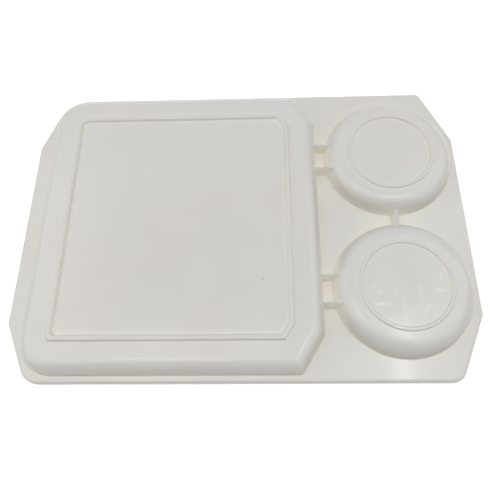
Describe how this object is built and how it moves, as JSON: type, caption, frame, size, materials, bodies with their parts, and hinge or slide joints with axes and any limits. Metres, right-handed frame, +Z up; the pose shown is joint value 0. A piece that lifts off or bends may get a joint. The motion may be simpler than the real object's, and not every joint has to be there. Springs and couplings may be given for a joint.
{
  "type": "pill counting tray",
  "caption": "Flat off-white plastic counting tray, face down on its rim, with one large rectangular basin and round cups beside it, foot beads and short stiffening ribs.",
  "frame": {"origin": "centre of the bounding box, on the plane that the rim's lower edge stands on", "axes": "+X from the basin towards the cups, +Y from the front edge to the rear edge, +Z up; the tray lies face down, so its feet point to +Z and its basin and cups open to -Z. Turn it half a turn about X for use."},
  "size_m": [0.3, 0.211, 0.0177],
  "materials": {
    "deck_plastic": "satin off-white moulded plastic, slightly translucent",
    "hollow_plastic": "satin off-white moulded plastic, faint flow and scuff marks",
    "bead_plastic": "satin off-white moulded plastic",
    "rib_plastic": "satin off-white moulded plastic, a little warmer where it is thin"
  },
  "bodies": {
    "root": {"deck_plate": "deck_plastic", "rim_lip": "deck_plastic", "basin_wall": "hollow_plastic", "basin_floor": "hollow_plastic", "rear_cup_wall": "hollow_plastic", "rear_cup_floor": "hollow_plastic", "front_cup_wall": "hollow_plastic", "front_cup_floor": "hollow_plastic", "basin_foot_bead": "bead_plastic", "rear_cup_foot_bead": "bead_plastic", "front_cup_foot_bead": "bead_plastic", "rear_cup_rear_rib": "rib_plastic", "rear_cup_front_rib": "rib_plastic", "front_cup_rear_rib": "rib_plastic", "front_cup_front_rib": "rib_plastic", "cup_tie_rib": "rib_plastic"}
  },
  "joints": []
}
